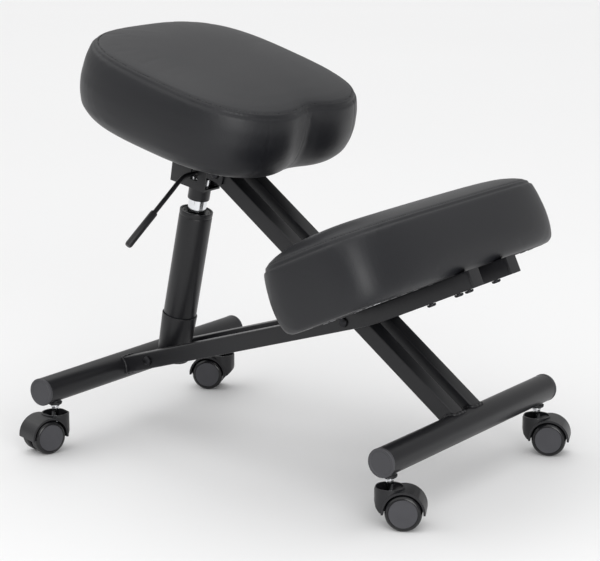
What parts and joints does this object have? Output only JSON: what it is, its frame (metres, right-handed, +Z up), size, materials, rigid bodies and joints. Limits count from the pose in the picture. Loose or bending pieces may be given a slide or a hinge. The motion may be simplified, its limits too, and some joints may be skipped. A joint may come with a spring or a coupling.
{
  "type": "kneeling massage chair",
  "caption": "Kneeling chair with padded seat and knee pad in black leather on two crossing steel frames, gas lift with lever, twin-wheel casters.",
  "frame": {"origin": "bottom centre of the bounding box, on the floor plane; the chair is symmetric about the plane X = 0 apart from the lever and the way the casters point", "axes": "+Z up, -Y towards the knee pad (front), +Y towards the rear of the seat, X across the chair with the lever on the -X side"},
  "size_m": [0.5096, 0.691, 0.6091],
  "materials": {
    "black_powder_coat": "satin, fine texture",
    "black_plastic": "satin",
    "chrome": "polished",
    "dark_steel": "black zinc",
    "leather": "smooth satin upholstery",
    "plywood": "raw"
  },
  "bodies": {
    "rear_frame": {"rear_cross_tube": "black_powder_coat", "rear_cap_left": "black_plastic", "rear_cap_right": "black_plastic", "bar_left": "black_powder_coat", "bar_right": "black_powder_coat", "knee_rail_plug_left": "black_plastic", "knee_rail_plug_right": "black_plastic", "knee_bolt_left_1": "dark_steel", "knee_bolt_left_2": "dark_steel", "knee_bolt_right_1": "dark_steel", "knee_bolt_right_2": "dark_steel", "lift_pivot_bolt": "dark_steel", "frame_pivot_bolt": "dark_steel", "knee_board": "plywood", "knee_cushion": "leather", "caster_rear_left_insert": "black_plastic", "caster_rear_right_insert": "black_plastic"},
    "gas_column": {"lift_socket": "black_powder_coat", "lift_column": "black_powder_coat", "lift_bush": "black_plastic"},
    "seat": {"lift_rod": "chrome", "lift_channel": "black_powder_coat", "seat_plate": "black_powder_coat", "top_bracket": "black_powder_coat", "top_pivot_bolt": "dark_steel", "seat_board": "plywood", "seat_cushion": "leather"},
    "release_pin": {"release_pin": "dark_steel"},
    "lever": {"lever_rod": "black_powder_coat", "lever_sleeve": "black_plastic"},
    "front_frame": {"front_cross_tube": "black_powder_coat", "front_cap_left": "black_plastic", "front_cap_right": "black_plastic", "rail_left": "black_powder_coat", "rail_right": "black_powder_coat", "rail_bolt_left": "dark_steel", "rail_bolt_right": "dark_steel", "caster_front_left_insert": "black_plastic", "caster_front_right_insert": "black_plastic"},
    "caster_front_left": {"caster_front_left_hood": "black_plastic", "caster_front_left_stem": "chrome", "caster_front_left_axle": "dark_steel"},
    "caster_front_left_wheel_a": {"caster_front_left_wheel_a": "black_plastic"},
    "caster_front_left_wheel_b": {"caster_front_left_wheel_b": "black_plastic"},
    "caster_front_right": {"caster_front_right_hood": "black_plastic", "caster_front_right_stem": "chrome", "caster_front_right_axle": "dark_steel"},
    "caster_front_right_wheel_a": {"caster_front_right_wheel_a": "black_plastic"},
    "caster_front_right_wheel_b": {"caster_front_right_wheel_b": "black_plastic"},
    "caster_rear_left": {"caster_rear_left_hood": "black_plastic", "caster_rear_left_stem": "chrome", "caster_rear_left_axle": "dark_steel"},
    "caster_rear_left_wheel_a": {"caster_rear_left_wheel_a": "black_plastic"},
    "caster_rear_left_wheel_b": {"caster_rear_left_wheel_b": "black_plastic"},
    "caster_rear_right": {"caster_rear_right_hood": "black_plastic", "caster_rear_right_stem": "chrome", "caster_rear_right_axle": "dark_steel"},
    "caster_rear_right_wheel_a": {"caster_rear_right_wheel_a": "black_plastic"},
    "caster_rear_right_wheel_b": {"caster_rear_right_wheel_b": "black_plastic"}
  },
  "joints": [
    {"name": "column_pivot", "type": "hinge", "parent": "rear_frame", "child": "gas_column", "pos_m": [0, 0.23, 0.1129], "axis": [1, 0, 0], "range_deg": [0, 6]},
    {"name": "gas_lift", "type": "slide", "parent": "gas_column", "child": "seat", "axis": [0, -0.2062, 0.9785], "range_m": [0, 0.07]},
    {"name": "frame_pivot", "type": "hinge", "parent": "rear_frame", "child": "front_frame", "pos_m": [0, -0.1257, 0.226], "axis": [1, 0, 0], "range_deg": [0, 14.2]},
    {"name": "height_lever", "type": "hinge", "parent": "seat", "child": "lever", "pos_m": [-0.0185, 0.16979, 0.39863], "axis": [0, 0.9785, 0.2062], "range_deg": [0, 8], "stiffness_Nm_per_rad": 1.2, "springref_deg": -5.16},
    {"name": "release_pin_slide", "type": "slide", "parent": "seat", "child": "release_pin", "axis": [0, -0.2062, 0.9785], "range_m": [-0.0027, 0]},
    {"name": "caster_front_left_swivel", "type": "hinge", "parent": "front_frame", "child": "caster_front_left", "pos_m": [-0.197, -0.2925, 0.05], "axis": [0, 0, 1], "continuous": true},
    {"name": "caster_front_left_wheel_a_spin", "type": "hinge", "parent": "caster_front_left", "child": "caster_front_left_wheel_a", "pos_m": [-0.19971, -0.31659, 0.025], "axis": [0.8829, 0.4695, 0], "continuous": true},
    {"name": "caster_front_left_wheel_b_spin", "type": "hinge", "parent": "caster_front_left", "child": "caster_front_left_wheel_b", "pos_m": [-0.17551, -0.30373, 0.025], "axis": [0.8829, 0.4695, 0], "continuous": true},
    {"name": "caster_front_right_swivel", "type": "hinge", "parent": "front_frame", "child": "caster_front_right", "pos_m": [0.197, -0.2925, 0.05], "axis": [0, 0, 1], "continuous": true},
    {"name": "caster_front_right_wheel_a_spin", "type": "hinge", "parent": "caster_front_right", "child": "caster_front_right_wheel_a", "pos_m": [0.19262, -0.31634, 0.025], "axis": [0.9135, 0.4067, 0], "continuous": true},
    {"name": "caster_front_right_wheel_b_spin", "type": "hinge", "parent": "caster_front_right", "child": "caster_front_right_wheel_b", "pos_m": [0.21765, -0.3052, 0.025], "axis": [0.9135, 0.4067, 0], "continuous": true},
    {"name": "caster_rear_left_swivel", "type": "hinge", "parent": "rear_frame", "child": "caster_rear_left", "pos_m": [-0.2013, 0.2925, 0.05], "axis": [0, 0, 1], "continuous": true},
    {"name": "caster_rear_left_wheel_a_spin", "type": "hinge", "parent": "caster_rear_left", "child": "caster_rear_left_wheel_a", "pos_m": [-0.21609, 0.31171, 0.025], "axis": [-0.309, -0.9511, 0], "continuous": true},
    {"name": "caster_rear_left_wheel_b_spin", "type": "hinge", "parent": "caster_rear_left", "child": "caster_rear_left_wheel_b", "pos_m": [-0.22456, 0.28565, 0.025], "axis": [-0.309, -0.9511, 0], "continuous": true},
    {"name": "caster_rear_right_swivel", "type": "hinge", "parent": "rear_frame", "child": "caster_rear_right", "pos_m": [0.2013, 0.2925, 0.05], "axis": [0, 0, 1], "continuous": true},
    {"name": "caster_rear_right_wheel_a_spin", "type": "hinge", "parent": "caster_rear_right", "child": "caster_rear_right_wheel_a", "pos_m": [0.20526, 0.31642, 0.025], "axis": [-0.9063, -0.4226, 0], "continuous": true},
    {"name": "caster_rear_right_wheel_b_spin", "type": "hinge", "parent": "caster_rear_right", "child": "caster_rear_right_wheel_b", "pos_m": [0.18043, 0.30484, 0.025], "axis": [-0.9063, -0.4226, 0], "continuous": true}
  ],
  "couplings": [
    {"joint": "column_pivot", "follows": "gas_lift", "rad_per_m": 1.4791},
    {"joint": "frame_pivot", "follows": "gas_lift", "rad_per_m": 3.5052},
    {"joint": "release_pin_slide", "follows": "height_lever", "m_per_rad": -0.0185}
  ]
}
